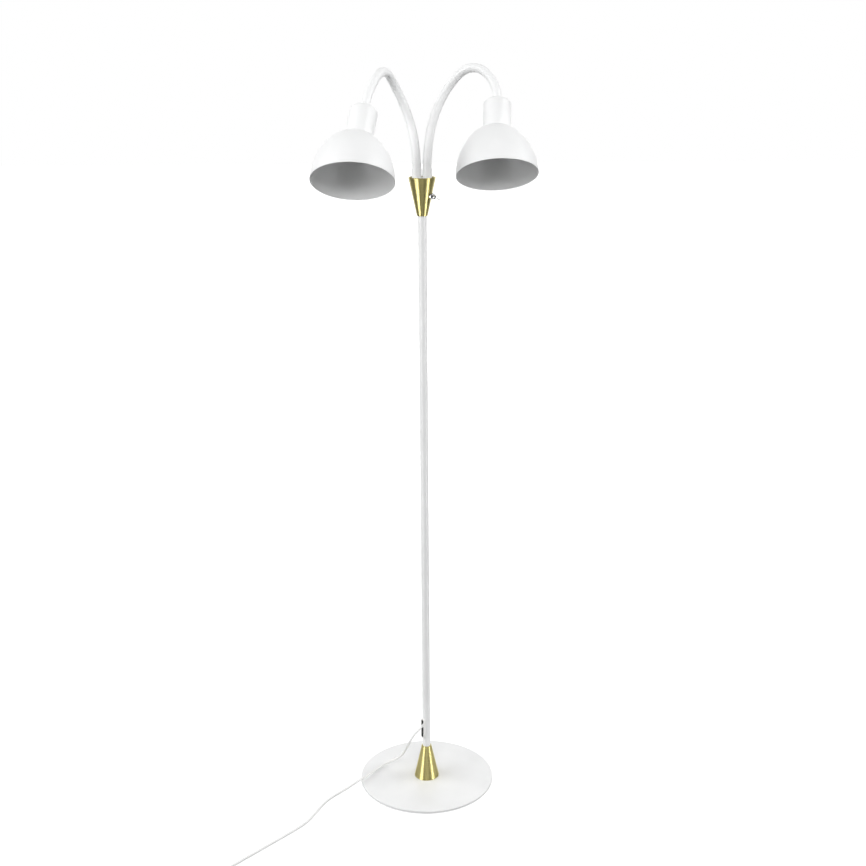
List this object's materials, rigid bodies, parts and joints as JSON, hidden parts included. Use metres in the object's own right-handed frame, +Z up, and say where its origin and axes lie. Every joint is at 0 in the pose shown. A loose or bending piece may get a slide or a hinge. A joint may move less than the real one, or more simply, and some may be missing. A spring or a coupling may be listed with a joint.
{
  "type": "two-arm floor lamp",
  "caption": "Floor lamp: round plate, straight pole between brass cones, and gooseneck arms that carry bell shades.",
  "frame": {"origin": "on the floor, under the pole's axis, at the centre of the base pad's underside", "axes": "+Z up along the pole; -Y towards the front, where the shades face; +X to the right seen from the front"},
  "size_m": [0.607, 0.5601, 1.4177],
  "materials": {
    "white_paint": "satin",
    "brass": "brushed",
    "chrome": "polished",
    "zinc_steel": "satin",
    "white_plastic": "satin",
    "black_plastic": "matte",
    "cord_sheath": "satin",
    "tie": "matte",
    "felt": "matte"
  },
  "bodies": {
    "stand": {"base_pad": "felt", "base_plate": "white_paint", "base_bolt": "zinc_steel", "base_cone": "brass", "arm_funnel": "brass", "lower_pole": "white_paint", "upper_pole": "white_paint", "pole_foot_plug": "zinc_steel", "lower_insert": "zinc_steel", "upper_insert": "zinc_steel", "top_insert": "zinc_steel", "joiner_nipple": "zinc_steel", "funnel_nipple": "zinc_steel", "funnel_nut": "zinc_steel", "cord_grommet": "white_plastic", "arm_plate": "zinc_steel", "arm_nuts": "zinc_steel", "left_ferrule": "white_paint", "left_gooseneck_1": "white_paint", "right_ferrule": "white_paint", "right_gooseneck_1": "white_paint", "switch_body": "black_plastic", "switch_bushing": "chrome", "switch_nut": "chrome", "switch_terminals": "zinc_steel", "cord_coil": "cord_sheath", "cord": "cord_sheath", "pole_cable": "cord_sheath", "cord_tie": "tie", "plug_body": "white_plastic", "plug_pins": "chrome"},
    "switch_toggle": {"switch_lever": "chrome"},
    "left_arm_2": {"left_gooseneck_2": "white_paint"},
    "left_arm_3": {"left_gooseneck_3": "white_paint"},
    "left_arm_4": {"left_gooseneck_4": "white_paint"},
    "left_head": {"left_gooseneck_5": "white_paint", "left_socket_cup": "white_paint", "left_head_stem": "zinc_steel", "left_cup_nut": "zinc_steel", "left_shade_washer": "zinc_steel", "left_lampholder_cap": "white_plastic", "left_lampholder_shell": "white_plastic", "left_lampholder_contact": "brass"},
    "left_shade_swivel": {"left_shade": "white_paint"},
    "right_arm_2": {"right_gooseneck_2": "white_paint"},
    "right_arm_3": {"right_gooseneck_3": "white_paint"},
    "right_arm_4": {"right_gooseneck_4": "white_paint"},
    "right_head": {"right_gooseneck_5": "white_paint", "right_socket_cup": "white_paint", "right_head_stem": "zinc_steel", "right_cup_nut": "zinc_steel", "right_shade_washer": "zinc_steel", "right_lampholder_cap": "white_plastic", "right_lampholder_shell": "white_plastic", "right_lampholder_contact": "brass"},
    "right_shade_swivel": {"right_shade": "white_paint"}
  },
  "joints": [
    {"name": "switch_tip", "type": "hinge", "parent": "stand", "child": "switch_toggle", "pos_m": [0.01926, -0.00981, 1.18814], "axis": [0.454, 0.891, 0], "range_deg": [-24, 0]},
    {"name": "left_arm_bend_1", "type": "hinge", "parent": "stand", "child": "left_arm_2", "pos_m": [-0.01531, 0.01093, 1.29526], "axis": [0.8536, -0.3988, 0.3352], "range_deg": [-20, 12]},
    {"name": "left_arm_swing_2", "type": "hinge", "parent": "left_arm_2", "child": "left_arm_3", "pos_m": [-0.03349, 0.01903, 1.35119], "axis": [0.0115, 0.994, 0.1087], "range_deg": [-20, 20]},
    {"name": "left_arm_bend_3", "type": "hinge", "parent": "left_arm_3", "child": "left_arm_4", "pos_m": [-0.05527, -0.00917, 1.39738], "axis": [0.9034, -0.4094, -0.1272], "range_deg": [-25, 10]},
    {"name": "left_arm_swing_4", "type": "hinge", "parent": "left_arm_4", "child": "left_head", "pos_m": [-0.07873, -0.05962, 1.39312], "axis": [-0.6897, -0.2769, 0.6691], "range_deg": [-25, 25]},
    {"name": "left_shade_tilt", "type": "hinge", "parent": "left_head", "child": "left_shade_swivel", "pos_m": [-0.11403, -0.15511, 1.25494], "axis": [-0.1049, 0.8456, -0.5234], "range_deg": [-0.5, 16.5]},
    {"name": "right_arm_bend_1", "type": "hinge", "parent": "stand", "child": "right_arm_2", "pos_m": [0.01463, 0.011, 1.29533], "axis": [0.0284, 0.9282, -0.371], "range_deg": [-20, 6]},
    {"name": "right_arm_swing_2", "type": "hinge", "parent": "right_arm_2", "child": "right_arm_3", "pos_m": [0.03207, 0.03178, 1.34867], "axis": [0.5643, -0.8243, 0.0457], "range_deg": [-20, 20]},
    {"name": "right_arm_bend_3", "type": "hinge", "parent": "right_arm_3", "child": "right_arm_4", "pos_m": [0.06563, 0.03445, 1.39704], "axis": [0.5075, 0.8395, -0.1939], "range_deg": [-25, 5]},
    {"name": "right_arm_swing_4", "type": "hinge", "parent": "right_arm_4", "child": "right_head", "pos_m": [0.11317, 0.00692, 1.40226], "axis": [0.709, 0.1384, 0.6915], "range_deg": [-25, 25]},
    {"name": "right_shade_tilt", "type": "hinge", "parent": "right_head", "child": "right_shade_swivel", "pos_m": [0.12961, -0.07711, 1.25772], "axis": [-0.0147, 0.8826, -0.4698], "range_deg": [-5, 12]}
  ]
}
